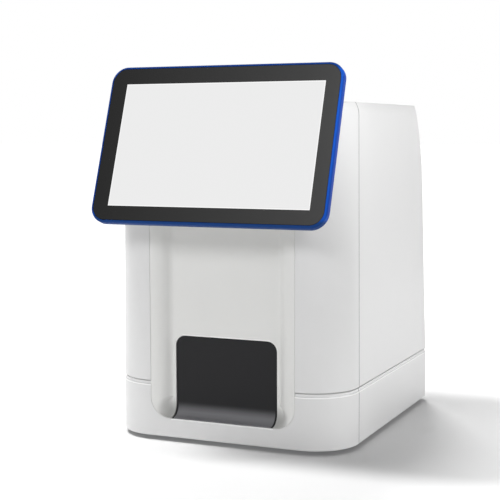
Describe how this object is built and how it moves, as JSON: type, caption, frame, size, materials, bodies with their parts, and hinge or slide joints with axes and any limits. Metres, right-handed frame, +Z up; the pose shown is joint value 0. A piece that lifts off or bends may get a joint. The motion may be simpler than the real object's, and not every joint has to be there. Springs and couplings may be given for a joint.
{
  "type": "hematology morphology analyzer",
  "caption": "Benchtop analyzer that images stained blood cells: a tall moulded body with a leaning front display, a recessed cartridge drawer, and optics and liquid handling inside.",
  "frame": {"origin": "on the bench, under the middle of the whole object's box", "axes": "+X to the right seen from the front, +Y to the back, +Z up"},
  "size_m": [0.266, 0.3463, 0.3938],
  "materials": {
    "shell_grey": "fine satin",
    "panel_grey": "fine satin, slightly warm",
    "drawer_black": "satin",
    "black_plastic": "moulded",
    "rim_blue": "gloss",
    "screen_glass": "printed black on the inner face",
    "lit_panel": "lit display",
    "board_green": "solder mask",
    "sheet_steel": "zinc plated",
    "aluminium": "machined",
    "brass": "machined",
    "foot_rubber": "matt",
    "clear_glass": "polished"
  },
  "bodies": {
    "chassis": {"front_cover": "shell_grey", "rear_cover": "shell_grey", "recess_panel": "panel_grey", "base_plate": "sheet_steel", "foot_front_left": "foot_rubber", "foot_front_right": "foot_rubber", "foot_rear_left": "foot_rubber", "foot_rear_right": "foot_rubber", "runner_outer_left": "sheet_steel", "runner_bracket_left": "sheet_steel", "runner_outer_right": "sheet_steel", "runner_bracket_right": "sheet_steel", "drawer_motor": "black_plastic", "computer_board": "board_green", "driver_board": "board_green", "power_supply": "aluminium", "rear_panel": "sheet_steel", "panel_screw_1": "sheet_steel", "panel_screw_2": "sheet_steel", "panel_screw_3": "sheet_steel", "panel_screw_4": "sheet_steel", "fan_frame": "black_plastic", "fan_guard": "sheet_steel", "power_inlet": "black_plastic", "switch_body": "black_plastic", "port_block": "sheet_steel", "optics_column": "aluminium", "stage_base": "aluminium", "stage_lamp": "black_plastic", "focus_motor": "black_plastic", "dispensing_gantry": "aluminium", "syringe_pump": "black_plastic", "syringe_barrel": "clear_glass", "hinge_bracket": "sheet_steel", "hinge_pin": "sheet_steel"},
    "display": {"display_rim": "rim_blue", "display_glass": "screen_glass", "lcd_panel": "lit_panel", "display_board": "board_green", "display_back_cover": "shell_grey", "display_arm": "aluminium"},
    "drawer": {"drawer_front": "drawer_black", "drawer_tray": "black_plastic", "cartridge_holder": "aluminium", "runner_inner_left": "sheet_steel", "runner_inner_right": "sheet_steel", "drawer_rack": "brass"},
    "runner_left": {"runner_middle_left": "sheet_steel"},
    "runner_right": {"runner_middle_right": "sheet_steel"},
    "pinion": {"drive_pinion": "brass"},
    "focus": {"focus_carriage": "aluminium", "objective": "brass", "camera_body": "black_plastic"},
    "stage": {"slide_plate": "aluminium"},
    "head": {"dispensing_head": "black_plastic", "needle": "sheet_steel"},
    "plunger": {"syringe_plunger": "sheet_steel"},
    "fan": {"fan_rotor": "black_plastic"},
    "rocker": {"switch_rocker": "black_plastic"}
  },
  "joints": [
    {"name": "display_tilt", "type": "hinge", "parent": "chassis", "child": "display", "pos_m": [0, -0.10713, 0.30852], "axis": [1, 0, 0], "range_deg": [-7, 8]},
    {"name": "drawer_slide", "type": "slide", "parent": "chassis", "child": "drawer", "axis": [0, -1, 0], "range_m": [0, 0.095]},
    {"name": "runner_slide_left", "type": "slide", "parent": "chassis", "child": "runner_left", "axis": [0, -1, 0], "range_m": [0, 0.0475]},
    {"name": "runner_slide_right", "type": "slide", "parent": "chassis", "child": "runner_right", "axis": [0, -1, 0], "range_m": [0, 0.0475]},
    {"name": "pinion_spin", "type": "hinge", "parent": "chassis", "child": "pinion", "pos_m": [0, -0.08238, 0.047], "axis": [0, 0, 1], "range_deg": [0, 606]},
    {"name": "focus_slide", "type": "slide", "parent": "chassis", "child": "focus", "axis": [0, 0, 1], "range_m": [-0.012, 0.006]},
    {"name": "stage_slide", "type": "slide", "parent": "chassis", "child": "stage", "axis": [1, 0, 0], "range_m": [-0.012, 0.012]},
    {"name": "head_slide", "type": "slide", "parent": "chassis", "child": "head", "axis": [0, 0, 1], "range_m": [-0.027, 0]},
    {"name": "plunger_slide", "type": "slide", "parent": "chassis", "child": "plunger", "axis": [0, 0, 1], "range_m": [-0.038, 0.005]},
    {"name": "fan_spin", "type": "hinge", "parent": "chassis", "child": "fan", "pos_m": [0, 0.145, 0.13], "axis": [0, 1, 0], "continuous": true},
    {"name": "rocker_tilt", "type": "hinge", "parent": "chassis", "child": "rocker", "pos_m": [0.012, 0.15332, 0.052], "axis": [1, 0, 0], "range_deg": [-20, 0]}
  ],
  "couplings": [
    {"joint": "runner_slide_left", "follows": "drawer_slide", "ratio": 0.5},
    {"joint": "runner_slide_right", "follows": "drawer_slide", "ratio": 0.5},
    {"joint": "pinion_spin", "follows": "drawer_slide", "rad_per_m": 111.11}
  ]
}
